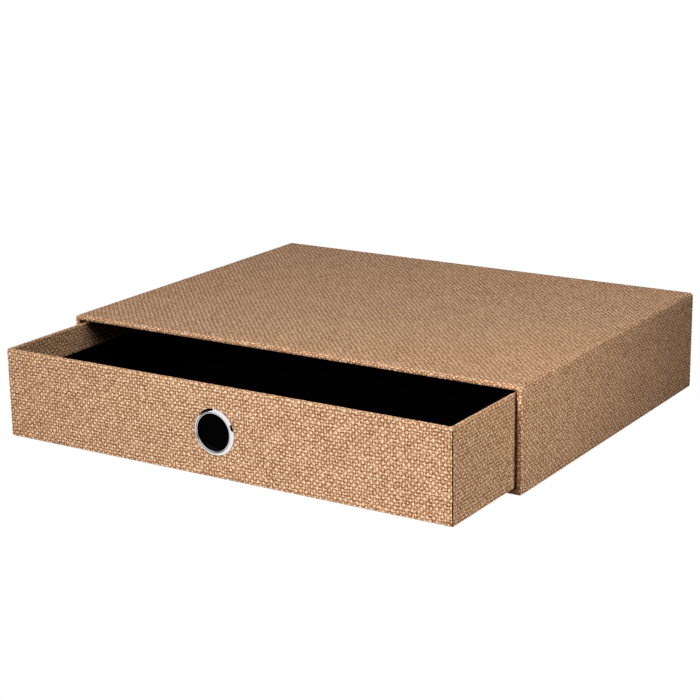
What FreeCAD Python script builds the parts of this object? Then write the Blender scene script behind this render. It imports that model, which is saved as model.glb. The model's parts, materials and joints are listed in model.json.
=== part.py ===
import FreeCAD, Part
import os
from collections import namedtuple

# A desk box for A4 sheets: a case of covered greyboard, open at the front, and a drawer that slides in it.
# Sizes are in mm. +X is to the right, the front faces -Y and +Z is up. The origin is the middle of the
# case's underside, on the surface that the box stands on. The drawer is drawn part way open.

# Case
CASE_WIDTH = 335.0
CASE_DEPTH = 256.0
CASE_HEIGHT = 67.3
CASE_BOARD = 2.5
CASE_TOP_EDGE_RADIUS = 2.5
CASE_BASE_EDGE_RADIUS = 1.3
CASE_END_EDGE_RADIUS = 1.2
CASE_TURN_IN = 18.0

# Drawer. Its outside follows the case and these running gaps.
DRAWER_BOARD = 2.0
DRAWER_CORNER_RADIUS = 1.2
DRAWER_RIM_RADIUS = 0.9
DRAWER_TURN_IN = 17.0
SIDE_GAP = 1.2
BASE_GAP = 0.2
TOP_GAP = 1.8
BACK_GAP = 2.0
PULLED_OUT = 72.6

# Papers
WRAP = 0.45
PLAIN_COVER = 0.3
LINING = 0.15
STAY_TAPE = 0.15
FLAP = 18.0
COVER_MARGIN = 4.0
STAY_LEG = 12.0
SEAM_LAP = 0.8
SEAM_GAP = 0.15

# Finger ring: an eyelet through the drawer's front, clenched over a washer behind it
EYELET_BORE = 23.5
EYELET_WALL = 0.35
FLANGE_WIDTH = 2.95
FLANGE_RIM = 0.3
FLANGE_RISE = 1.1
EYELET_FIT = 0.1
WASHER_WIDTH = 2.6
WASHER_THICKNESS = 0.5
CLENCH_WIDTH = 1.4
CLENCH_RISE = 0.6

# A space or a block, by the places of its six sides
Room = namedtuple("Room", "left right front back bottom top")


def inside(room, left=0.0, right=0.0, front=0.0, back=0.0, bottom=0.0, top=0.0):
    """The room within this one, with each side moved in by an amount, or out by a negative one."""
    return Room(
        room.left + left,
        room.right - right,
        room.front + front,
        room.back - back,
        room.bottom + bottom,
        room.top - top,
    )


def inside_all(room, amount):
    """The room with all six sides moved in by the same amount."""
    return inside(room, amount, amount, amount, amount, amount, amount)


def block(room):
    corner = FreeCAD.Vector(room.left, room.front, room.bottom)
    width = room.right - room.left
    depth = room.back - room.front
    height = room.top - room.bottom
    return Part.makeBox(width, depth, height, corner)


def edges_along(shape, along):
    return [edge for edge in shape.Edges if abs(edge.tangentAt(edge.FirstParameter).dot(along)) > 0.99]


def rounded_block(room, radius, along):
    """A block whose four edges along a direction are rounded. A paper's inner radius may come to nothing."""
    shape = block(room)
    if radius <= 0:
        return shape
    return shape.makeFillet(radius, edges_along(shape, along))


def case_form(room, outwards=0.0):
    """A room's block with the case's rounded long edges, its radii those of the wrap or larger by an amount."""
    shape = block(room)
    for level, radius in ((room.top, CASE_TOP_EDGE_RADIUS), (room.bottom, CASE_BASE_EDGE_RADIUS)):
        edges = []
        for edge in edges_along(shape, ALONG_Y):
            place = edge.CenterOfMass
            at_side = min(place.x - room.left, room.right - place.x) < 1e-6
            if at_side and abs(place.z - level) < 1e-6:
                edges.append(edge)
        shape = shape.makeFillet(radius + outwards, edges)
    return shape


def round_ends(shape, radius, along, places):
    """The shape with the edges rounded that lie in the planes at these places along a direction."""
    edges = []
    for edge in shape.Edges:
        reach = [vertex.Point.dot(along) for vertex in edge.Vertexes]
        for place in places:
            if max(abs(value - place) for value in reach) < 1e-6:
                edges.append(edge)
    return shape.makeFillet(radius, edges)


def only(shape):
    """The single solid that a boolean left."""
    return shape.removeSplitter().Solids[0]


ALONG_Y = FreeCAD.Vector(0, 1, 0)
ALONG_Z = FreeCAD.Vector(0, 0, 1)

# The case's spaces, from the outside in
case_outside = Room(
    -CASE_WIDTH / 2, CASE_WIDTH / 2, -CASE_DEPTH / 2, CASE_DEPTH / 2, 0.0, CASE_HEIGHT
)
case_wrapped = inside(case_outside, back=WRAP, bottom=PLAIN_COVER)
case_boarded = inside_all(case_wrapped, WRAP)
case_hollow = inside_all(case_boarded, CASE_BOARD)._replace(front=case_boarded.front)
case_bay = inside(case_hollow, LINING, LINING, CASE_TURN_IN, LINING, LINING, LINING)
case_mouth = inside(case_hollow, WRAP, WRAP, -WRAP, 0.0, WRAP, WRAP)

# The drawer's spaces. Closed, its front is flush with the case's.
drawer_depth = case_bay.back - BACK_GAP - case_outside.front
drawer_front = case_outside.front - PULLED_OUT
drawer_outside = Room(
    case_mouth.left + SIDE_GAP,
    case_mouth.right - SIDE_GAP,
    drawer_front,
    drawer_front + drawer_depth,
    case_mouth.bottom + BASE_GAP,
    case_mouth.top - TOP_GAP,
)
drawer_wrapped = inside(drawer_outside, bottom=PLAIN_COVER)
drawer_boarded = inside_all(drawer_wrapped, WRAP)
drawer_hollow = inside_all(drawer_boarded, DRAWER_BOARD)._replace(top=drawer_boarded.top)
drawer_mouth = inside(drawer_hollow, WRAP, WRAP, WRAP, WRAP, 0.0, -WRAP)
turn_in_foot = drawer_boarded.top - DRAWER_TURN_IN

# The finger ring's place and radii
ring_height = (drawer_outside.bottom + drawer_outside.top) / 2
bore_radius = EYELET_BORE / 2
barrel_radius = bore_radius + EYELET_WALL
hole_radius = barrel_radius + EYELET_FIT
wall_inner_face = drawer_mouth.front


def case_core():
    """The outer form of the case's boards, which its papers lie on."""
    return case_form(case_boarded, -WRAP)


def case_boards():
    """Five greyboard panels: top and base over the full width, the sides between them, the back behind all."""
    core = case_core()
    sleeve_back = case_hollow.back
    top = case_boarded._replace(bottom=case_hollow.top, back=sleeve_back)
    base = case_boarded._replace(top=case_hollow.bottom, back=sleeve_back)
    left = case_boarded._replace(
        right=case_hollow.left, bottom=case_hollow.bottom, top=case_hollow.top, back=sleeve_back
    )
    right = left._replace(left=case_hollow.right, right=case_boarded.right)
    back = case_boarded._replace(front=sleeve_back)
    return {
        "case_top_board": core.common(block(top)),
        "case_base_board": core.common(block(base)),
        "case_left_board": block(left),
        "case_right_board": block(right),
        "case_back_board": core.common(block(back)),
    }


def case_corner_stays():
    """A strip of gummed tape round each long edge, over the joint between two boards."""
    taped = inside(
        case_boarded, -STAY_TAPE, -STAY_TAPE, STAY_LEG, 0.0, -STAY_TAPE, -STAY_TAPE
    )
    skin = case_form(taped, STAY_TAPE - WRAP).cut(case_core())
    strips = []
    for left in (taped.left, taped.right - STAY_LEG):
        for bottom in (taped.bottom, taped.top - STAY_LEG):
            corner = taped._replace(
                left=left, right=left + STAY_LEG, bottom=bottom, top=bottom + STAY_LEG
            )
            strips.append(only(skin.common(block(corner))))
    return Part.makeCompound(strips)


def case_wrap():
    """One sheet round the case: turned in at the mouth, and over the edges of the back and underside."""
    outer = case_form(case_wrapped)
    outer = round_ends(
        outer, CASE_END_EDGE_RADIUS, ALONG_Y, (case_wrapped.front, case_wrapped.back)
    )
    back_window = inside_all(case_boarded, FLAP)._replace(
        front=case_boarded.back, back=case_wrapped.back
    )
    base_window = inside_all(case_boarded, FLAP)._replace(
        bottom=case_wrapped.bottom, top=case_boarded.bottom
    )
    turned_in = case_hollow._replace(back=case_hollow.front + CASE_TURN_IN)
    sheet = outer.cut(case_core()).cut(block(case_mouth)).cut(block(back_window))
    sheet = sheet.cut(block(base_window)).fuse(block(turned_in).cut(block(case_mouth)))
    return only(sheet.cut(case_corner_stays()))


def case_covers():
    """Sheets over the wrap's turned edges: cover paper on the back, plain paper that the case rests on."""
    back = case_outside._replace(front=case_wrapped.back)
    back = inside(back, COVER_MARGIN, COVER_MARGIN, 0.0, 0.0, COVER_MARGIN, COVER_MARGIN)
    base = case_outside._replace(top=case_wrapped.bottom)
    base = inside(base, COVER_MARGIN, COVER_MARGIN, COVER_MARGIN, COVER_MARGIN)
    return {"case_back_cover": block(back), "case_base_cover": block(base)}


def case_linings():
    """Black paper inside the case, behind the turned-in wrap: a band round four walls, and the back."""
    band = case_hollow._replace(front=case_bay.front)
    back = case_bay._replace(front=case_bay.back, back=case_hollow.back)
    within = case_bay._replace(back=case_hollow.back)
    return {
        "case_wall_lining": block(band).cut(block(within)),
        "case_back_lining": block(back),
    }


def drawer_core():
    """The outer form of the drawer's boards, which its papers lie on."""
    return rounded_block(drawer_boarded, DRAWER_CORNER_RADIUS - WRAP, ALONG_Z)


def ring_hole():
    """The round hole through everything in the drawer's front."""
    reach = drawer_boarded.front - drawer_wrapped.front + DRAWER_BOARD + WRAP
    start = FreeCAD.Vector(0, drawer_wrapped.front - reach, ring_height)
    return Part.makeCylinder(hole_radius, 3 * reach, start, ALONG_Y)


def drawer_boards():
    """Five greyboard panels: a full bottom, front and back over the full width, and the sides between."""
    core = drawer_core()
    bottom = drawer_boarded._replace(top=drawer_hollow.bottom)
    walls = drawer_boarded._replace(bottom=drawer_hollow.bottom)
    front = walls._replace(back=drawer_hollow.front)
    back = walls._replace(front=drawer_hollow.back)
    between = walls._replace(front=drawer_hollow.front, back=drawer_hollow.back)
    return {
        "drawer_bottom_board": core.common(block(bottom)),
        "drawer_front_board": core.common(block(front)).cut(ring_hole()),
        "drawer_back_board": core.common(block(back)),
        "drawer_left_board": block(between._replace(right=drawer_hollow.left)),
        "drawer_right_board": block(between._replace(left=drawer_hollow.right)),
    }


def drawer_corner_stays():
    """A strip of gummed tape up each corner, over the joint between two walls."""
    taped = inside(drawer_boarded, -STAY_TAPE, -STAY_TAPE, -STAY_TAPE, -STAY_TAPE)
    taped = inside(taped, bottom=DRAWER_BOARD, top=DRAWER_BOARD)
    skin = rounded_block(taped, DRAWER_CORNER_RADIUS - WRAP + STAY_TAPE, ALONG_Z).cut(drawer_core())
    strips = []
    for left in (taped.left, taped.right - STAY_LEG):
        for front in (taped.front, taped.back - STAY_LEG):
            corner = taped._replace(
                left=left, right=left + STAY_LEG, front=front, back=front + STAY_LEG
            )
            strips.append(only(skin.common(block(corner))))
    return Part.makeCompound(strips)


def drawer_skin():
    """The drawer's covering paper before it is parted: outside, over the rim, turned in and under."""
    outer = rounded_block(drawer_wrapped, DRAWER_CORNER_RADIUS, ALONG_Z)
    outer = round_ends(outer, DRAWER_RIM_RADIUS, ALONG_Z, (drawer_wrapped.bottom, drawer_wrapped.top))
    base_window = inside_all(drawer_boarded, FLAP)._replace(
        bottom=drawer_wrapped.bottom, top=drawer_boarded.bottom
    )
    turned_in = drawer_hollow._replace(bottom=turn_in_foot)
    skin = outer.cut(drawer_core()).cut(block(drawer_mouth)).cut(block(base_window))
    skin = skin.fuse(block(turned_in).cut(block(drawer_mouth)))
    return skin.cut(drawer_corner_stays()).cut(ring_hole())


def front_part(seam):
    """What the front sheet covers: the front wall, short of its corners, and its flap underneath."""
    wall = drawer_wrapped._replace(back=wall_inner_face)
    wall = inside(wall, SEAM_LAP + seam, SEAM_LAP + seam)
    under = inside(drawer_wrapped, FLAP + seam, FLAP + seam)
    under = under._replace(back=drawer_boarded.front + FLAP, top=drawer_boarded.bottom)
    return block(wall).fuse(block(under))


def drawer_papers():
    """The side sheet goes round the left, back and right walls. The front sheet meets it at the corners."""
    skin = drawer_skin()
    return {
        "drawer_side_wrap": only(skin.cut(front_part(0.0))),
        "drawer_front_cover": only(skin.common(front_part(SEAM_GAP))),
    }


def drawer_base_cover():
    """A plain sheet under the drawer, over the turned edges of its wrap."""
    sheet = drawer_outside._replace(top=drawer_wrapped.bottom)
    return block(inside(sheet, COVER_MARGIN, COVER_MARGIN, COVER_MARGIN, COVER_MARGIN))


def drawer_linings():
    """Black paper in the tray: a band round the walls below the turned-in wrap, and the floor."""
    band = drawer_hollow._replace(top=turn_in_foot)
    within = inside(band, LINING, LINING, LINING, LINING)
    floor = within._replace(top=drawer_hollow.bottom + LINING)
    return {
        "drawer_wall_lining": block(band).cut(block(within)).cut(ring_hole()),
        "drawer_floor_lining": block(floor),
    }


def at(radius, depth):
    """A point of a section of the finger ring, depth mm behind the drawer's front face."""
    return FreeCAD.Vector(radius, drawer_outside.front + depth, ring_height)


def turned(edges):
    """The solid that a closed section of the finger ring makes round its axis."""
    face = Part.Face(Part.Wire(Part.__sortEdges__(edges)))
    centre = FreeCAD.Vector(0, drawer_outside.front, ring_height)
    return face.revolve(centre, ALONG_Y, 360)


def line(start, end):
    return Part.LineSegment(start, end).toShape()


def arc(start, middle, end):
    return Part.Arc(start, middle, end).toShape()


def finger_eyelet():
    """A thin metal tube with a domed flange in front, its back end clenched out over the washer."""
    wall = wall_inner_face - drawer_outside.front
    clench_start = wall + WASHER_THICKNESS
    flange_radius = barrel_radius - EYELET_WALL + FLANGE_WIDTH
    crown_radius = (bore_radius + flange_radius) / 2
    clench_radius = bore_radius + CLENCH_WIDTH
    clench_middle = (bore_radius + clench_radius) / 2
    dome = arc(at(bore_radius, 0), at(crown_radius, -FLANGE_RISE), at(flange_radius, -FLANGE_RIM))
    clench = arc(
        at(bore_radius, clench_start),
        at(clench_middle, clench_start + CLENCH_RISE),
        at(clench_radius, clench_start),
    )
    return turned(
        [
            dome,
            line(at(flange_radius, -FLANGE_RIM), at(flange_radius, 0)),
            line(at(flange_radius, 0), at(barrel_radius, 0)),
            line(at(barrel_radius, 0), at(barrel_radius, clench_start)),
            line(at(barrel_radius, clench_start), at(clench_radius, clench_start)),
            clench,
            line(at(bore_radius, clench_start), at(bore_radius, 0)),
        ]
    )


def eyelet_washer():
    """The flat ring behind the drawer's front that the eyelet is clenched over."""
    start = FreeCAD.Vector(0, wall_inner_face, ring_height)
    ring = Part.makeCylinder(hole_radius + WASHER_WIDTH, WASHER_THICKNESS, start, ALONG_Y)
    return ring.cut(Part.makeCylinder(hole_radius, WASHER_THICKNESS, start, ALONG_Y))


parts = {
    **case_boards(),
    "case_corner_stays": case_corner_stays(),
    "case_wrap": case_wrap(),
    **case_covers(),
    **case_linings(),
    **drawer_boards(),
    "drawer_corner_stays": drawer_corner_stays(),
    **drawer_papers(),
    "drawer_base_cover": drawer_base_cover(),
    **drawer_linings(),
    "finger_eyelet": finger_eyelet(),
    "eyelet_washer": eyelet_washer(),
}

os.makedirs("parts", exist_ok=True)
for name, shape in parts.items():
    shape.exportStep(f"parts/{name}.step")
    print(f"{name}: {len(shape.Solids)} solid(s), {shape.Volume / 1000:.2f} cm3, valid {shape.isValid()}")
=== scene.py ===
"""The looks of a desk box: a case and a drawer of greyboard, covered in woven-looking copper brown paper.

Sizes here are in millimetres in the part's own frame until a mesh is made: +X is to the right, the front
faces -Y and +Z is up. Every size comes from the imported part's boxes or is a named value below.
"""
import json
import math

import bmesh
import bpy
from mathutils import Matrix, Vector


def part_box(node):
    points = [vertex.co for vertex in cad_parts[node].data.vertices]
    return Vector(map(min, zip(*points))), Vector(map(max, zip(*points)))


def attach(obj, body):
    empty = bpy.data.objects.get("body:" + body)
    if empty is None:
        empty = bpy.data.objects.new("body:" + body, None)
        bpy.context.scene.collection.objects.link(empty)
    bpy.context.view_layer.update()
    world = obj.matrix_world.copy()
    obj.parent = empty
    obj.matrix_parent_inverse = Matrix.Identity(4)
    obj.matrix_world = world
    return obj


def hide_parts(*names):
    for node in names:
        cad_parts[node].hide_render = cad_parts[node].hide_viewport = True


MM = 0.001
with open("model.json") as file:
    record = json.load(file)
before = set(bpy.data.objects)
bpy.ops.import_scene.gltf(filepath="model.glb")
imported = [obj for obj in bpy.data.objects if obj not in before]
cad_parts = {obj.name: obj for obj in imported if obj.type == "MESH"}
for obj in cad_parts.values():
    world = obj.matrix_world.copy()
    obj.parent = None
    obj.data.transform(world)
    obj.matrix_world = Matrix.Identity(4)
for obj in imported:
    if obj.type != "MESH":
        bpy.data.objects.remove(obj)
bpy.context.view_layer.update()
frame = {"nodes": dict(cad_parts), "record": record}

# The camera, as the photograph was taken. The first three are in pixels, millimetres and pixels.
IMAGE_WIDTH = 700.0
SENSOR_WIDTH = 36.0
FOCAL_PIXELS = 1845.9
CAMERA_PLACE = Vector((632.25, -1035.24, 376.65))
CAMERA_AZIMUTH = math.radians(32.674)
CAMERA_ELEVATION = math.radians(15.735)
CAMERA_ROLL = math.radians(-0.87)

# The covering paper's thickness, how far its edges are turned under, and how far it is pressed into the
# board where it is turned in at the sides and the base of the case's mouth
WRAP = 0.45
FLAP = 18.0
TURN_IN_PRESS = 0.3

# The radii of the papers' edges
CASE_TOP_ROUND = 2.5
CASE_BASE_ROUND = 1.3
CASE_END_ROUND = 1.2
CASE_SIDE_INNER_ROUND = 0.35
CASE_TOP_INNER_ROUND = 1.4
DRAWER_CORNER_ROUND = 1.2
DRAWER_RIM_ROUND = 0.9
DRAWER_INNER_ROUND = 0.7

# The open seams at the drawer's front corners. The side paper ends at this share of the turn round the
# corner, and sways by up to this share. The sway is the sum of two waves, each with its share of the whole,
# its millimetres to a radian and its start in radians.
SEAM_TURN = 0.72
SEAM_WIDTH = 0.9
SEAM_SWAY = 0.08
SEAM_WAVES = ((0.6, 2.9, 0.0), (0.4, 1.1, 2.0))

# The black sheet in a seam, painted shade for the open seam's shadow and partly the papers' dark cut edges:
# how far it ends below the rim, how deep it lies, and its thickness
SEAM_SHADE_TOP = 2.2
SEAM_SHADE_DEPTH = 0.2
SEAM_SHADE_THICKNESS = 0.15

# How finely the sheets are divided: along straight runs, round edges, and how near an edge's round the
# straight run gets its last line. A round that shrinks inwards keeps the least radius. Faces as near as this
# to the case's underside belong to it.
GRID_STEP = 7.0
DRAWER_STEP = 2.0
ARC_STEPS = 6
GUARD = 0.4
LEAST_ROUND = 0.12
NEAR = 0.01

# The finger ring: the steps round it, its flange's width from the bore to the edge, how far it domes past its
# solid, and how far in from its edge and how close to the paper its back begins
RING_STEPS = 128
FLANGE_WIDTH = 2.95
RING_DOME = 0.3
FLANGE_TUCK = 0.15
FLANGE_GAP = 0.02

# Its sloping outer band: the share of the fall that is straight, and the share of the flange's rise it falls
BAND_WIDTH = 1.9
BAND_STEPS = 14
BAND_SLOPE = 0.4
BAND_FALL = 0.95

# The fine groove inside the band: points of (how far inside the band, share of the rise, darkening)
GROOVE = ((0.1, 0.9, 0.2), (0.15, 0.5, 0.95))

# Its rolled inner rim: how high it starts and how much its crown adds, as shares of the rise, how dark it is
# at the foot and how fast that darkening clears towards the crown. The bore starts at the throat, another
# share of the rise.
RIM_WIDTH = 0.65
RIM_STEPS = 12
RIM_FOOT = 0.4
RIM_CROWN = 0.4
RIM_DARKENING = 0.95
RIM_CROWN_CLEARING = 1.3
THROAT = 0.3

# The tube behind it, clenched over the washer
TUBE_WALL = 0.34
CLENCH_WIDTH = 1.4
CLENCH_RISE = 0.45
CLENCH_LIP = 0.05
CLENCH_STEPS = 8

# The round hole in the front's paper, and how far the washer reaches past it
HOLE_COVER = 1.6
HOLE_STEPS = 96
CUTTER_DEPTH = 30.0

# The embossed weave: its repeat across and along the sheet, how far its threads drift slowly and wander
# quickly, the nubs' half width and half length, how far they stray and how much their size varies
WEAVE_ACROSS = 3.86
WEAVE_ALONG = 4.16
THREAD_DRIFT = 1.0
THREAD_WANDER = 0.38
WARP_NUB = (1.12, 1.28)
WEFT_NUB = (1.1, 0.65)
NUB_STRAY = 0.2
NUB_SPREAD = 0.3

# Its relief: a warp nub's height, the weft's nubs as a share of the warp's, how softly the two meet, what
# fibres and grain change either way, and how much a fold flattens it
RELIEF = 0.6
WEFT_HEIGHT = 0.5
NUB_BLEND = 0.1
FIBRE_RELIEF = 0.75
GRAIN_RELIEF = 0.35
FOLD_FLATTENING = 0.3

# Its tone, on the way from the darkest colour at 0 to the lightest at 1: the ground's, what nubs add as a
# painted highlight and holes take away as painted shade, and what fibres, grain and each nub's own chance
# change either way
GROUND_TONE = 0.21
NUB_TONE_AND_PAINTED_HIGHLIGHT = 0.95
HOLE_PAINTED_SHADE = 0.18
FIBRE_TONE = 1.25
GRAIN_TONE = 0.6
CHANCE_TONE = 0.1

# How much the paper's brightness changes slowly over the sheet, and its hue from thread to thread, either way
BLOTCH_VALUE = 0.09
THREAD_HUE = 0.03

# The plate's roughness, how much smears change it either way, and how much full darkening adds
PLATE_ROUGHNESS = 0.07
SMEAR_ROUGHNESS = 0.03
DARKENED_ROUGHNESS = 0.6

# The materials' colours for the values of their tone, fibre, specks or darkening, as (value, colour). The
# cover's darkest colours also carry the painted shade of the weave's hollows, and its lightest the painted
# highlight on its nubs.
COVER_COLOURS = (
    (0.0, (0.165, 0.07, 0.028)),
    (0.3, (0.32, 0.17, 0.086)),
    (0.7, (0.495, 0.308, 0.187)),
    (1.0, (0.67, 0.462, 0.315)),
)
BLACK_COLOURS = ((0.3, (0.001, 0.001, 0.0011)), (0.75, (0.0022, 0.0022, 0.0023)))
BOARD_COLOURS = ((0.3, (0.3, 0.285, 0.26)), (0.7, (0.47, 0.45, 0.415)))
TAPE_COLOURS = ((0.3, (0.33, 0.22, 0.13)), (0.7, (0.45, 0.32, 0.2)))
PLATE_COLOURS = ((0.0, (0.83, 0.83, 0.83)), (1.0, (0.002, 0.002, 0.002)))

# The surroundings: their dim glow, the floor's grey, and how far the floor reaches to each side
GLOW = 0.05
FLOOR_GREY = 0.35
FLOOR_REACH = 6000.0

# Where the lamps point, and the warm one's tint
BOX_MIDDLE = (0, -80, 30)
MOUTH_CORNER = (165, -165, 50)
WARM = (1.0, 0.985, 0.935)


def low(node):
    """The lowest corner of a node's box."""
    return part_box(node)[0] / MM


def high(node):
    """The highest corner of a node's box."""
    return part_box(node)[1] / MM


# ---------------------------------------------------------------- sheets of paper


def soft_path(corners, rounds, step=GRID_STEP):
    """A line through square corners, each rounded: its places, their distances from its start, and folds.

    rounds holds one radius for each corner between the two ends. A place's fold is 1 on a corner's round and
    0 elsewhere.
    """
    points = [Vector(corners[0])]
    distances = [0.0]
    folds = [0.0]
    for index in range(1, len(corners)):
        start = points[-1]
        corner = Vector(corners[index])
        along = (corner - start).normalized()
        last = index == len(corners) - 1
        radius = 0.0 if last else rounds[index - 1]
        end = corner - along * radius
        for share in run_shares((end - start).length, step):
            points.append(start.lerp(end, share))
            distances.append(distances[-1] + (points[-1] - points[-2]).length)
            folds.append(0.0)
        if last:
            continue
        folds[-1] = 1.0
        away = (Vector(corners[index + 1]) - corner).normalized()
        centre = end + away * radius
        for turn in range(1, ARC_STEPS + 1):
            angle = math.pi / 2 * turn / ARC_STEPS
            points.append(centre - away * radius * math.cos(angle) + along * radius * math.sin(angle))
            distances.append(distances[-1] + radius * math.pi / 2 / ARC_STEPS)
            folds.append(1.0)
    return points, distances, folds


def run_shares(length, step, marks=()):
    """Where a straight run is divided, as shares of it: even steps, and a guard line close to each end."""
    count = max(1, math.ceil(length / step))
    places = {length * number / count for number in range(1, count + 1)}
    if length > 4 * GUARD:
        places |= {GUARD, length - GUARD}
    places |= set(marks)
    return [place / length for place in sorted(places)]


def run_places(start, end):
    """The places that divide a straight run, with both its ends."""
    return [start + (end - start) * share for share in [0.0] + run_shares(abs(end - start), GRID_STEP)]


class Ring:
    """Points round a rounded rectangle, the same number for every inset, with each one's place on the sheet.

    Sides are numbered the way round: 0 faces down or to the front, 1 right, 2 up or to the back, 3 left.
    A station is (side, share of its run from -1 to 1, share of the turn round the corner after it).
    """

    FACING = (Vector((0, -1)), Vector((1, 0)), Vector((0, 1)), Vector((-1, 0)))
    ALONG = (Vector((1, 0)), Vector((0, 1)), Vector((-1, 0)), Vector((0, -1)))

    def __init__(self, lowest, highest, radii, marks=()):
        """radii are for the corners after sides 0 to 3. marks are distances from a corner.

        Every side also gets a point at each mark from both its corners.
        """
        self.middle = (lowest + highest) / 2
        half = (highest - lowest) / 2
        self.halves = (half.x, half.y, half.x, half.y)
        self.depths = (half.y, half.x, half.y, half.x)
        self.radii = radii
        self.centres = [0.0]
        for side in range(4):
            gap = self.halves[side] + self.halves[(side + 1) % 4] - (2 - math.pi / 2) * radii[side]
            self.centres.append(self.centres[-1] + gap)
        self.length = self.centres.pop()
        self.stations = []
        for side in range(4):
            before = radii[side - 1]
            run = 2 * self.halves[side] - before - radii[side]
            extra = [mark - before for mark in marks]
            extra += [2 * self.halves[side] - before - mark for mark in marks]
            shares = [0.0] + run_shares(run, GRID_STEP, extra)
            self.stations += [(side, 2 * share - 1, 0.0) for share in shares]
            self.stations += [(side, 1.0, turn / ARC_STEPS) for turn in range(1, ARC_STEPS)]

    def point(self, station, inset):
        """A station's place in the plane and on the sheet, on the ring that lies inset within the outer."""
        side, share, turn = station
        radius = max(self.radii[side] - inset, LEAST_ROUND)
        before = max(self.radii[side - 1] - inset, LEAST_ROUND)
        facing = self.FACING[side]
        along = self.ALONG[side]
        first = before + inset - self.halves[side]
        last = self.halves[side] - inset - radius
        run = first + (last - first) * (share + 1) / 2
        place = facing * (self.depths[side] - inset - radius) + along * run
        angle = math.pi / 2 * turn
        place += facing * radius * math.cos(angle) + along * radius * math.sin(angle)
        start = self.centres[side] + run
        following = (side + 1) % 4
        end = self.centres[following] - (self.halves[following] - inset - radius)
        if end < start:
            end += self.length
        return self.middle + place, start + (end - start) * turn


def skin_mesh(name, rows, way_round, keep):
    """A mesh through rows of (place, across, along, fold), with the sheet's own millimetres as its UV map.

    way_round is a closed sheet's length round the ring, and 0 for a sheet that is open at both sides. keep
    says, from a face's middle, whether it is part of the sheet.
    """
    mesh = bmesh.new()
    layer = mesh.loops.layers.uv.new("sheet")
    folded = mesh.verts.layers.float.new("fold")
    grid = []
    for row in rows:
        grid.append([])
        for place, across, along, fold in row:
            grid[-1].append(mesh.verts.new(place))
            grid[-1][-1][folded] = fold
    width = len(rows[0])
    columns = width if way_round else width - 1
    for upper in range(len(rows) - 1):
        for column in range(columns):
            beside = (column + 1) % width
            corners = ((upper, column), (upper, beside), (upper + 1, beside), (upper + 1, column))
            middle = sum((rows[row][at][0] for row, at in corners), Vector()) / 4
            if keep and not keep(middle):
                continue
            face = mesh.faces.new([grid[row][at] for row, at in corners])
            face.smooth = True
            for loop, (row, at) in zip(face.loops, corners):
                across, along = rows[row][at][1:3]
                if at == 0 and beside == 0:
                    across += way_round
                loop[layer].uv = (across, along)
    loose = [vertex for vertex in mesh.verts if not vertex.link_faces]
    bmesh.ops.delete(mesh, geom=loose, context="VERTS")
    mesh.transform(Matrix.Scale(MM, 4))
    return new_piece(name, mesh)


def new_piece(name, mesh):
    """An object in the scene from a mesh, which is used up."""
    data = bpy.data.meshes.new(name)
    mesh.to_mesh(data)
    mesh.free()
    piece = bpy.data.objects.new(name, data)
    bpy.context.scene.collection.objects.link(piece)
    return piece


def apply_modifiers(piece):
    """Turns what the piece's modifiers make into its own mesh."""
    bpy.context.view_layer.update()
    shown = piece.evaluated_get(bpy.context.evaluated_depsgraph_get())
    made = bpy.data.meshes.new_from_object(shown)
    piece.modifiers.clear()
    old = piece.data
    piece.data = made
    bpy.data.meshes.remove(old)


def paper_sheet(name, rows, thickness, way_round=0.0, keep=None):
    """A sheet of paper as a closed solid: a skin through the rows, with its thickness behind it."""
    piece = skin_mesh(name, rows, way_round, keep)
    solid = piece.modifiers.new("thickness", "SOLIDIFY")
    solid.thickness = thickness * MM
    solid.offset = -1.0
    apply_modifiers(piece)
    return piece


def dress(piece, body, slot, *nodes):
    """Says what a piece rides on, what it is made of and which nodes it stands for."""
    piece.data.materials.clear()
    piece.data.materials.append(MATERIALS[slot])
    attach(piece, body)
    if nodes:
        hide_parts(*nodes)


# ---------------------------------------------------------------- the case's papers


def top_share(station):
    """How much a station round the case belongs to its top, from 0 to 1."""
    side = station[0]
    turn = station[2]
    return {1: turn, 2: 1 - turn}.get(side, 0.0)


def case_wrap():
    """The sheet round the case: over the mouth's edge and turned in, and over the edges of back and base.

    Its edge at the mouth is sharp and pressed at the sides and the base, and soft and full at the top.
    """
    lowest = low("case_wrap")
    highest = high("case_wrap")
    ring = Ring(
        Vector((lowest.x, lowest.z)),
        Vector((highest.x, highest.z)),
        (CASE_BASE_ROUND, CASE_TOP_ROUND, CASE_TOP_ROUND, CASE_BASE_ROUND),
        marks=(WRAP + FLAP,),
    )
    outside = ((WRAP + FLAP, highest.y), (0, highest.y), (0, lowest.y))
    lining = low("case_wall_lining").y
    full_wall = high("case_left_board").x - lowest.x + WRAP
    pressed_wall = full_wall - TURN_IN_PRESS
    soft = soft_path(
        outside + ((full_wall, lowest.y), (full_wall, lining)),
        (CASE_END_ROUND, CASE_END_ROUND, CASE_TOP_INNER_ROUND),
    )[0]
    sharp, distances, folds = soft_path(
        outside + ((pressed_wall, lowest.y), (pressed_wall, lining)),
        (CASE_END_ROUND, CASE_END_ROUND, CASE_SIDE_INNER_ROUND),
    )
    rows = []
    for sharp_point, soft_point, distance, fold in zip(sharp, soft, distances, folds):
        row = []
        for station in ring.stations:
            inset, depth = sharp_point.lerp(soft_point, top_share(station))
            place, across = ring.point(station, inset)
            row.append((Vector((place.x, depth, place.y)), across, distance, fold))
        rows.append(row)

    def kept(middle):
        under = middle.z < lowest.z + NEAR
        clear_x = min(middle.x - lowest.x, highest.x - middle.x) > WRAP + FLAP
        clear_y = min(middle.y - lowest.y, highest.y - middle.y) > WRAP + FLAP
        return not (under and clear_x and clear_y)

    piece = paper_sheet("case_wrap_paper", rows, WRAP, ring.length, kept)
    dress(piece, "case", "textured_paper", "case_wrap")


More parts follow.
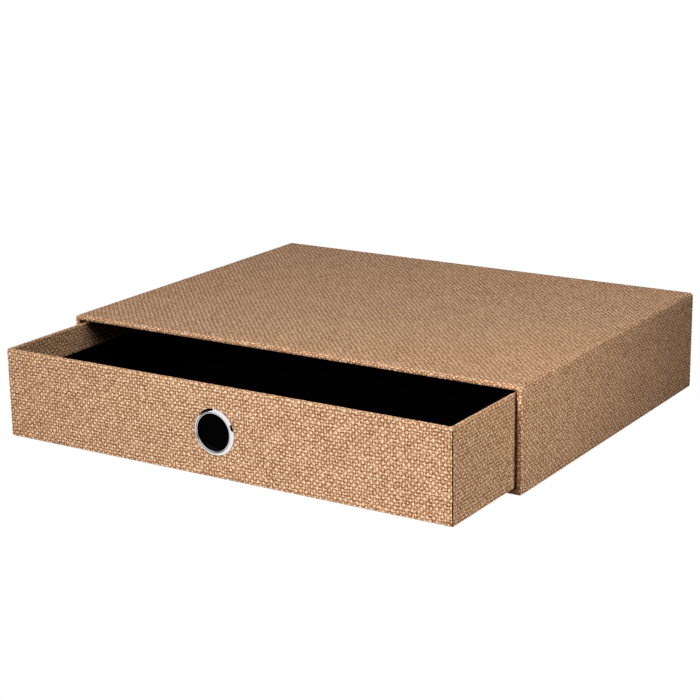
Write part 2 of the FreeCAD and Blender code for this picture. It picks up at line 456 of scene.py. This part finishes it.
def case_back_cover():
    """The cover paper on the back, over the wrap's turned edges."""
    lowest = low("case_back_cover")
    highest = high("case_back_cover")
    rows = []
    for z in run_places(lowest.z, highest.z):
        rows.append([(Vector((x, highest.y, z)), -x, z, 0.0) for x in run_places(highest.x, lowest.x)])
    piece = paper_sheet("case_back_paper", rows, highest.y - lowest.y)
    dress(piece, "case", "textured_paper", "case_back_cover")


# ---------------------------------------------------------------- the drawer's papers


def drawer_section():
    """The way of the drawer's papers: under the base, up the wall, over the rim and down inside."""
    bottom = low("drawer_side_wrap").z
    top = high("drawer_side_wrap").z
    wall = high("drawer_left_board").x - low("drawer_side_wrap").x + WRAP
    corners = (
        (WRAP + FLAP, bottom),
        (0, bottom),
        (0, top),
        (wall, top),
        (wall, high("drawer_wall_lining").z),
    )
    return soft_path(corners, (DRAWER_RIM_ROUND, DRAWER_RIM_ROUND, DRAWER_INNER_ROUND), DRAWER_STEP)


def drawer_ring():
    """The drawer's outside seen from above."""
    side_low = low("drawer_side_wrap")
    side_high = high("drawer_side_wrap")
    front = low("drawer_front_cover").y
    return Ring(Vector((side_low.x, front)), Vector((side_high.x, side_high.y)), 4 * (DRAWER_CORNER_ROUND,))


def seam_sway(height):
    """How far a seam strays from its place at a height, as a share of the turn round the corner."""
    return SEAM_SWAY * sum(share * math.sin(height / length + start) for share, length, start in SEAM_WAVES)


def drawer_rows(stations):
    """The rows of a sheet on the drawer's walls, whose first and last stations are its edges at the seams."""
    ring = drawer_ring()
    starts_left_of_front = stations[0][0] == 3
    section, distances, folds = drawer_section()
    rows = []
    for (inset, height), distance, fold in zip(section, distances, folds):
        row = []
        for station in stations:
            if station in (stations[0], stations[-1]):
                station = (station[0], station[1], station[2] + seam_sway(height))
            place, across = ring.point(station, inset)
            if starts_left_of_front and across > ring.length / 2:
                across -= ring.length
            row.append((Vector((place.x, place.y, height)), across, distance, fold))
        rows.append(row)
    return rows


def drawer_side_wrap():
    """The strip round the drawer's left, back and right walls, its ends just round the front corners."""
    clear_of_seam = SEAM_TURN + 2 * SEAM_SWAY
    stations = [(0, 1.0, SEAM_TURN)]
    for side, share, turn in drawer_ring().stations:
        right_corner = side == 0 and share == 1.0 and turn > clear_of_seam
        left_wall = side == 3 and turn < 1 - clear_of_seam
        if right_corner or side in (1, 2) or left_wall:
            stations.append((side, share, turn))
    stations.append((3, 1.0, 1 - SEAM_TURN))
    piece = paper_sheet("drawer_side_paper", drawer_rows(stations), WRAP)
    dress(piece, "drawer", "textured_paper", "drawer_side_wrap")


def drawer_front_cover():
    """The sheet on the drawer's front, over its rim and turned in, with the round hole for the ring."""
    end = SEAM_TURN - SEAM_WIDTH / DRAWER_CORNER_ROUND / (math.pi / 2)
    stations = [(3, 1.0, 1 - end), (3, 1.0, 1 - end / 3)]
    stations += [station for station in drawer_ring().stations if station[0] == 0 and station[2] == 0.0]
    stations += [(0, 1.0, end / 3), (0, 1.0, end)]
    piece = paper_sheet("drawer_front_paper", drawer_rows(stations), WRAP)
    bore_ring_hole(piece)
    dress(piece, "drawer", "textured_paper", "drawer_front_cover")


def painted_seam_shade(name, side):
    """A black sheet between the papers at the front corner after a side, just outside the board: painted
    shade for the open seam's shadow, and partly the papers' dark cut edges.
    """
    ring = drawer_ring()
    lowest = low("drawer_side_wrap").z + WRAP
    highest = high("drawer_side_wrap").z - SEAM_SHADE_TOP
    rows = []
    for height in run_places(lowest, highest):
        row = []
        for step in range(ARC_STEPS + 1):
            place, across = ring.point((side, 1.0, step / ARC_STEPS), SEAM_SHADE_DEPTH)
            row.append((Vector((place.x, place.y, height)), across, height, 0.0))
        rows.append(row)
    piece = paper_sheet(name, rows, SEAM_SHADE_THICKNESS)
    dress(piece, "drawer", "black_paper")


def bore_ring_hole(piece):
    """Cuts the ring's round hole through a sheet."""
    middle = (low("finger_eyelet") + high("finger_eyelet")) / 2
    radius = (high("eyelet_washer").x - low("eyelet_washer").x) / 2 - HOLE_COVER
    cutter = bmesh.new()
    bmesh.ops.create_cone(
        cutter, cap_ends=True, segments=HOLE_STEPS, radius1=radius, radius2=radius, depth=CUTTER_DEPTH,
        matrix=Matrix.Translation(middle) @ Matrix.Rotation(math.pi / 2, 4, "X"),
    )
    cutter.transform(Matrix.Scale(MM, 4))
    tool = new_piece("hole_cutter", cutter)
    cut = piece.modifiers.new("hole", "BOOLEAN")
    cut.operation = "DIFFERENCE"
    cut.solver = "EXACT"
    cut.object = tool
    apply_modifiers(piece)
    bpy.data.objects.remove(tool)


# ---------------------------------------------------------------- the finger ring


def ring_profile():
    """The eyelet's closed profile, as points of (radius, depth, darkening), from the flange's edge inwards.
    """
    lowest = low("finger_eyelet")
    highest = high("finger_eyelet")
    face = low("drawer_front_cover").y
    flange = (highest.x - lowest.x) / 2
    shoulder = flange - BAND_WIDTH
    bore = flange - FLANGE_WIDTH
    rise = face - lowest.y + RING_DOME
    profile = [(flange - FLANGE_TUCK, face - FLANGE_GAP, 0.0)]
    for number in range(BAND_STEPS + 1):
        share = 1 - number / BAND_STEPS
        fall = BAND_SLOPE * share + (1 - BAND_SLOPE) * share ** 2
        profile.append((shoulder + BAND_WIDTH * share, face - rise + BAND_FALL * rise * fall, 0.0))
    for inside, height, darkening in GROOVE:
        profile.append((shoulder - inside, face - height * rise, darkening))
    for number in range(RIM_STEPS + 1):
        angle = math.pi * number / RIM_STEPS
        radius = bore + RIM_WIDTH / 2 * (1 + math.cos(angle))
        height = RIM_FOOT + RIM_CROWN * math.sin(angle)
        darkening = max(0.0, RIM_DARKENING - RIM_CROWN_CLEARING * math.sin(angle))
        profile.append((radius, face - rise * height, darkening))
    tube_end = highest.y - CLENCH_RISE
    for depth in (face - THROAT * rise, low("eyelet_washer").y, tube_end):
        profile.append((bore, depth, 1.0))
    for number in range(1, CLENCH_STEPS + 1):
        angle = math.pi * number / CLENCH_STEPS
        radius = bore + CLENCH_WIDTH / 2 * (1 - math.cos(angle))
        profile.append((radius, tube_end + CLENCH_RISE * math.sin(angle), 1.0))
    profile.append((bore + TUBE_WALL, tube_end - CLENCH_LIP, 1.0))
    profile.append((bore + TUBE_WALL, face + FLANGE_GAP, 1.0))
    return profile


def finger_ring():
    """The plated eyelet: a domed band, a fine groove, a rolled inner rim, and the tube clenched behind."""
    middle = (low("finger_eyelet") + high("finger_eyelet")) / 2
    mesh = bmesh.new()
    darkened = mesh.verts.layers.float.new("darkening")
    rings = []
    for radius, depth, darkening in ring_profile():
        around = []
        for number in range(RING_STEPS):
            angle = 2 * math.pi * number / RING_STEPS
            x = middle.x + radius * math.cos(angle)
            z = middle.z + radius * math.sin(angle)
            around.append(mesh.verts.new((x, depth, z)))
            around[-1][darkened] = darkening
        rings.append(around)
    for index in range(len(rings)):
        following = rings[(index + 1) % len(rings)]
        for number in range(RING_STEPS):
            beside = (number + 1) % RING_STEPS
            corners = (rings[index][number], rings[index][beside], following[beside], following[number])
            mesh.faces.new(corners).smooth = True
    bmesh.ops.recalc_face_normals(mesh, faces=mesh.faces)
    mesh.transform(Matrix.Scale(MM, 4))
    dress(new_piece("finger_ring", mesh), "drawer", "plated_metal", "finger_eyelet")


# ---------------------------------------------------------------- materials


class Shade:
    """A material's nodes, made one call at a time. A value is a number, a tuple or another node's output."""

    def __init__(self, name):
        self.material = bpy.data.materials.new(name)
        self.material.use_nodes = True
        self.tree = self.material.node_tree
        self.shader = self.tree.nodes["Principled BSDF"]

    def node(self, kind, inputs=(), **settings):
        """A new node, with its settings, and its inputs by number or name."""
        made = self.tree.nodes.new(kind)
        for name, value in settings.items():
            setattr(made, name, value)
        for key, value in dict(inputs).items():
            self.plug(made.inputs[key], value)
        return made

    def plug(self, socket, value):
        """Links another node's output to a socket, or sets the socket itself."""
        if isinstance(value, bpy.types.NodeSocket):
            self.tree.links.new(value, socket)
        else:
            socket.default_value = value

    def maths(self, operation, *values):
        """What a calculation on values gives."""
        return self.node("ShaderNodeMath", enumerate(values), operation=operation).outputs[0]

    def total(self, value, *others):
        """The sum of two or more values."""
        for other in others:
            value = self.maths("ADD", value, other)
        return value

    def parts(self, colour):
        """A colour's three parts, as values."""
        return self.node("ShaderNodeSeparateColor", {0: colour}).outputs

    def object_place(self):
        """Where a point lies in its piece's own frame, in metres."""
        return self.node("ShaderNodeTexCoord").outputs["Object"]

    def noise(self, place, scale, detail=2.0, roughness=0.5):
        """A noise's two outputs: its value and its colour."""
        inputs = {"Vector": place, "Scale": scale, "Detail": detail, "Roughness": roughness}
        return self.node("ShaderNodeTexNoise", inputs, noise_dimensions="3D").outputs

    def centred(self, value, amount):
        """A noise value as a change of up to this much either way."""
        return self.maths("MULTIPLY", self.maths("SUBTRACT", value, 0.5), 2 * amount)

    def wave(self, repeats):
        """The size of a sine with two lobes to a repeat: 0 on the threads' middles and 1 between them."""
        return self.maths("ABSOLUTE", self.maths("SINE", self.maths("MULTIPLY", repeats, 2 * math.pi)))

    def ramp(self, value, stops):
        """A colour for each value, through stops of (place, colour)."""
        made = self.node("ShaderNodeValToRGB", {0: value})
        elements = made.color_ramp.elements
        for element, (place, colour) in zip(elements, (stops[0], stops[-1])):
            element.position = place
            element.color = (*colour, 1.0)
        for place, colour in stops[1:-1]:
            elements.new(place).color = (*colour, 1.0)
        return made.outputs[0]

    def bump(self, height, strength, distance):
        """A normal from a height, which stands this many millimetres for each 1."""
        inputs = {"Height": height, "Strength": strength, "Distance": distance * MM}
        return self.node("ShaderNodeBump", inputs).outputs[0]

    def finish(self, **values):
        """The material, with its shader's inputs given by name."""
        for name, value in values.items():
            self.plug(self.shader.inputs[name.replace("_", " ")], value)
        return self.material


def woven_nubs(shade, across, along, nub, shift, seed):
    """How high the nubs of one thread system stand, from 0 to 1, and a number for each nub.

    across and along count the weave's repeats, and the nubs' middles lie shifted by a share of one.
    """
    half_width, half_length = nub
    moved = shade.maths("ADD", across, shift)
    first = shade.maths("ADD", moved, along)
    second = shade.maths("SUBTRACT", moved, along)
    first_cell = shade.maths("ROUND", first)
    second_cell = shade.maths("ROUND", second)
    first_off = shade.maths("SUBTRACT", first, first_cell)
    second_off = shade.maths("SUBTRACT", second, second_cell)
    cell = shade.node("ShaderNodeCombineXYZ", {0: first_cell, 1: second_cell, 2: seed}).outputs[0]
    chance = shade.node("ShaderNodeTexWhiteNoise", {"Vector": cell}, noise_dimensions="3D").outputs
    parts = shade.parts(chance["Color"])
    x = shade.maths("MULTIPLY", shade.maths("ADD", first_off, second_off), WEAVE_ACROSS / 2)
    y = shade.maths("MULTIPLY", shade.maths("SUBTRACT", first_off, second_off), WEAVE_ALONG / 2)
    x = shade.maths("ADD", x, shade.centred(parts[0], NUB_STRAY))
    y = shade.maths("ADD", y, shade.centred(parts[1], NUB_STRAY))
    x = shade.maths("DIVIDE", x, half_width)
    y = shade.maths("DIVIDE", y, half_length)
    square = shade.maths("ADD", shade.maths("MULTIPLY", x, x), shade.maths("MULTIPLY", y, y))
    size = shade.maths("ADD", 1.0, shade.centred(parts[2], NUB_SPREAD))
    square = shade.maths("DIVIDE", square, size)
    dome = shade.maths("MAXIMUM", shade.maths("SUBTRACT", 1.0, square), 0.0)
    return dome, chance["Value"]


def wavy_threads(shade, place):
    """The sheet's place across and along, counted in the weave's repeats, with the threads' stray in it."""
    drift = shade.parts(shade.noise(place, scale=0.16, detail=1.0)["Color"])
    wander = shade.parts(shade.noise(place, scale=0.6, detail=1.0)["Color"])
    straight = shade.node("ShaderNodeSeparateXYZ", {0: place}).outputs
    threads = []
    for index, repeat in enumerate((WEAVE_ACROSS, WEAVE_ALONG)):
        drifted = shade.centred(drift[index], THREAD_DRIFT)
        wandered = shade.centred(wander[index], THREAD_WANDER)
        threads.append(shade.maths("DIVIDE", shade.total(straight[index], drifted, wandered), repeat))
    return threads


def textured_paper():
    """Paper embossed as a coarse plain weave, in a copper brown, with painted shade in its hollows and
    painted highlights on its nubs.
    """
    shade = Shade("textured_paper")
    place = shade.node("ShaderNodeUVMap", uv_map="sheet").outputs[0]
    across, along = wavy_threads(shade, place)
    warp, chance = woven_nubs(shade, across, along, WARP_NUB, shift=0.0, seed=0.0)
    weft = woven_nubs(shade, across, along, WEFT_NUB, shift=0.5, seed=7.0)[0]
    height = shade.maths("SMOOTH_MAX", warp, shade.maths("MULTIPLY", weft, WEFT_HEIGHT), NUB_BLEND)
    hole_painted_shade = shade.maths("MULTIPLY", shade.wave(across), shade.wave(along))
    fibre = shade.noise(place, scale=0.95, detail=2.0, roughness=0.6)[0]
    grain = shade.noise(place, scale=2.4, detail=2.0, roughness=0.6)[0]
    fold = shade.node("ShaderNodeAttribute", attribute_name="fold").outputs["Fac"]
    relief = shade.total(height, shade.centred(fibre, FIBRE_RELIEF), shade.centred(grain, GRAIN_RELIEF))
    flattened = shade.maths("SUBTRACT", 1.0, shade.maths("MULTIPLY", fold, FOLD_FLATTENING))
    relief = shade.maths("MULTIPLY", relief, flattened)
    # Painted shade and highlight: the hollows are coloured darker and the nubs lighter, for the relief's own
    # shade and light
    tone_and_painted_light = shade.total(
        shade.maths("MULTIPLY", height, NUB_TONE_AND_PAINTED_HIGHLIGHT),
        GROUND_TONE,
        shade.maths("MULTIPLY", hole_painted_shade, -HOLE_PAINTED_SHADE),
        shade.centred(fibre, FIBRE_TONE),
        shade.centred(grain, GRAIN_TONE),
        shade.centred(chance, CHANCE_TONE),
    )
    colour = shade.ramp(tone_and_painted_light, COVER_COLOURS)
    blotch = shade.noise(place, scale=0.035, detail=3.0, roughness=0.55)[0]
    dye = shade.noise(place, scale=0.7, detail=1.0)[0]
    value = shade.maths("ADD", 1.0, shade.centred(blotch, BLOTCH_VALUE))
    hue = shade.maths("ADD", 0.5, shade.centred(dye, THREAD_HUE))
    tint = shade.node("ShaderNodeHueSaturation", {"Hue": hue, "Value": value, "Color": colour}).outputs[0]
    normal = shade.bump(relief, strength=1.0, distance=RELIEF)
    return shade.finish(Base_Color=tint, Roughness=0.5, Specular_IOR_Level=0.003, Normal=normal)


def black_paper():
    """Matt black lining paper with a fine fibre."""
    shade = Shade("black_paper")
    fibre = shade.noise(shade.object_place(), scale=900.0, detail=3.0, roughness=0.6)[0]
    colour = shade.ramp(fibre, BLACK_COLOURS)
    normal = shade.bump(fibre, strength=0.4, distance=0.05)
    return shade.finish(Base_Color=colour, Roughness=0.85, Specular_IOR_Level=0.0, Normal=normal)


def greyboard():
    """Raw grey board with specks of its pulp."""
    shade = Shade("greyboard")
    speck = shade.noise(shade.object_place(), scale=700.0, detail=4.0, roughness=0.65)[0]
    colour = shade.ramp(speck, BOARD_COLOURS)
    normal = shade.bump(speck, strength=0.5, distance=0.08)
    return shade.finish(Base_Color=colour, Roughness=0.9, Specular_IOR_Level=0.2, Normal=normal)


def stay_tape():
    """Brown gummed tape."""
    shade = Shade("stay_tape")
    fibre = shade.noise(shade.object_place(), scale=500.0, detail=4.0, roughness=0.6)[0]
    colour = shade.ramp(fibre, TAPE_COLOURS)
    return shade.finish(Base_Color=colour, Roughness=0.6, Specular_IOR_Level=0.3)


def plated_metal():
    """Bright nickel plate, made dark and dull where the mesh marks it: in the groove, at the rim's foot and
    down the bore.
    """
    shade = Shade("plated_metal")
    smear = shade.noise(shade.object_place(), scale=160.0)[0]
    darkening = shade.node("ShaderNodeAttribute", attribute_name="darkening").outputs["Fac"]
    dull = shade.maths("MULTIPLY", darkening, DARKENED_ROUGHNESS)
    rough = shade.total(PLATE_ROUGHNESS, shade.centred(smear, SMEAR_ROUGHNESS), dull)
    colour = shade.ramp(darkening, PLATE_COLOURS)
    return shade.finish(Base_Color=colour, Metallic=1.0, Roughness=rough)


# ---------------------------------------------------------------- camera, lights and floor


def add_camera():
    """The camera, with no shift and no depth of field."""
    data = bpy.data.cameras.new("camera")
    data.sensor_width = SENSOR_WIDTH
    data.lens = FOCAL_PIXELS / IMAGE_WIDTH * SENSOR_WIDTH
    data.clip_start = 50 * MM
    data.clip_end = 50000 * MM
    camera = bpy.data.objects.new("camera", data)
    bpy.context.scene.collection.objects.link(camera)
    level = Matrix.Rotation(CAMERA_AZIMUTH, 4, "Z")
    tilt = Matrix.Rotation(math.pi / 2 - CAMERA_ELEVATION, 4, "X")
    roll = Matrix.Rotation(CAMERA_ROLL, 4, "Z")
    camera.matrix_world = Matrix.Translation(CAMERA_PLACE * MM) @ level @ tilt @ roll
    bpy.context.scene.camera = camera


def facing(place, target):
    """The matrix of something at a place whose own -Z looks at the target."""
    away = Vector(place) - Vector(target)
    return Matrix.Translation(Vector(place) * MM) @ away.to_track_quat("Z", "Y").to_matrix().to_4x4()


def add_softbox(name, place, target, width, height, power, spread=180, tint=(1, 1, 1)):
    """A soft rectangular light, facing a point. spread is how wide it shines, in degrees."""
    data = bpy.data.lights.new(name, "AREA")
    data.shape = "RECTANGLE"
    data.size = width * MM
    data.size_y = height * MM
    data.energy = power
    data.color = tint
    data.spread = math.radians(spread)
    lamp = bpy.data.objects.new(name, data)
    bpy.context.scene.collection.objects.link(lamp)
    lamp.visible_camera = False
    lamp.visible_glossy = False
    lamp.matrix_world = facing(place, target)


def add_world():
    """White where the camera or a reflection looks, and a dim light from all round."""
    world = bpy.data.worlds.new("studio")
    bpy.context.scene.world = world
    world.use_nodes = True
    tree = world.node_tree
    tree.nodes.clear()
    path = tree.nodes.new("ShaderNodeLightPath")
    either = tree.nodes.new("ShaderNodeMath")
    tree.links.new(path.outputs["Is Camera Ray"], either.inputs[0])
    tree.links.new(path.outputs["Is Glossy Ray"], either.inputs[1])
    choose = tree.nodes.new("ShaderNodeMixShader")
    tree.links.new(either.outputs[0], choose.inputs[0])
    for socket, strength in zip(choose.inputs[1:], (GLOW, 1.0)):
        light = tree.nodes.new("ShaderNodeBackground")
        light.inputs["Color"].default_value = (1, 1, 1, 1)
        light.inputs["Strength"].default_value = strength
        tree.links.new(light.outputs[0], socket)
    out = tree.nodes.new("ShaderNodeOutputWorld")
    tree.links.new(choose.outputs[0], out.inputs["Surface"])


def add_floor():
    """A grey floor that looks white to the camera and in reflections."""
    mesh = bmesh.new()
    bmesh.ops.create_grid(mesh, x_segments=1, y_segments=1, size=FLOOR_REACH)
    mesh.transform(Matrix.Scale(MM, 4))
    floor = new_piece("floor", mesh)
    shade = Shade("floor")
    grey = (FLOOR_GREY, FLOOR_GREY, FLOOR_GREY, 1.0)
    shade.finish(Base_Color=grey, Roughness=0.9, Specular_IOR_Level=0.1)
    light = shade.node("ShaderNodeEmission", {"Color": (1, 1, 1, 1), "Strength": 1.0}).outputs[0]
    path = shade.node("ShaderNodeLightPath").outputs
    either = shade.maths("ADD", path["Is Camera Ray"], path["Is Glossy Ray"])
    choose = shade.node("ShaderNodeMixShader", {0: either, 1: shade.shader.outputs[0], 2: light})
    shade.plug(shade.tree.nodes["Material Output"].inputs["Surface"], choose.outputs[0])
    floor.data.materials.append(shade.material)


def add_black_card(name, place, target, width, height):
    """A black card that only reflections see, as a studio hangs beside bright metal."""
    mesh = bmesh.new()
    bmesh.ops.create_grid(mesh, x_segments=1, y_segments=1, size=0.5)
    mesh.transform(Matrix.Diagonal((width * MM, height * MM, 1.0, 1.0)))
    card = new_piece(name, mesh)
    card.matrix_world = facing(place, target)
    card.visible_camera = False
    card.visible_diffuse = False
    card.visible_shadow = False
    shade = Shade(name)
    card.data.materials.append(shade.finish(Base_Color=(0, 0, 0, 1), Roughness=1.0, Specular_IOR_Level=0.0))


def add_lights():
    """A large lamp above, one far in front, a warm one at the right, and a low one for the case's back."""
    add_softbox("overhead", (0, -700, 1100), BOX_MIDDLE, width=700, height=700, power=12.0)
    add_softbox("key", (-300, -2600, 1100), MOUTH_CORNER, width=500, height=500, power=3.2, spread=30)
    add_softbox(
        "side", (600, -135, 200), (165, -140, 35), width=160, height=160, power=0.65, spread=100, tint=WARM
    )
    add_softbox("behind", (-500, 750, 34), (0, 0, 34), width=900, height=60, power=7.0)
    add_black_card("card_left", (-1400, 0, 1000), (0, 0, 1000), width=3000, height=1750)
    add_black_card("card_right", (450, -520, 130), (0, -520, 130), width=1150, height=255)


def paint(node, material):
    """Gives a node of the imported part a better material."""
    slots = frame["nodes"][node].data.materials
    slots.clear()
    slots.append(material)


MATERIALS = {
    "textured_paper": textured_paper(),
    "black_paper": black_paper(),
    "greyboard": greyboard(),
    "stay_tape": stay_tape(),
    "plated_metal": plated_metal(),
}
for subpart in frame["record"]["subparts"]:
    paint(subpart["node"], MATERIALS[subpart["material_slot"]])

case_wrap()
case_back_cover()
drawer_side_wrap()
drawer_front_cover()
# Painted shade: black sheets in the two front seams of the drawer
painted_seam_shade("painted_seam_shade_right", 0)
painted_seam_shade("painted_seam_shade_left", 3)
finger_ring()

bpy.context.scene.view_settings.view_transform = "Standard"
add_camera()
add_world()
add_floor()
add_lights()
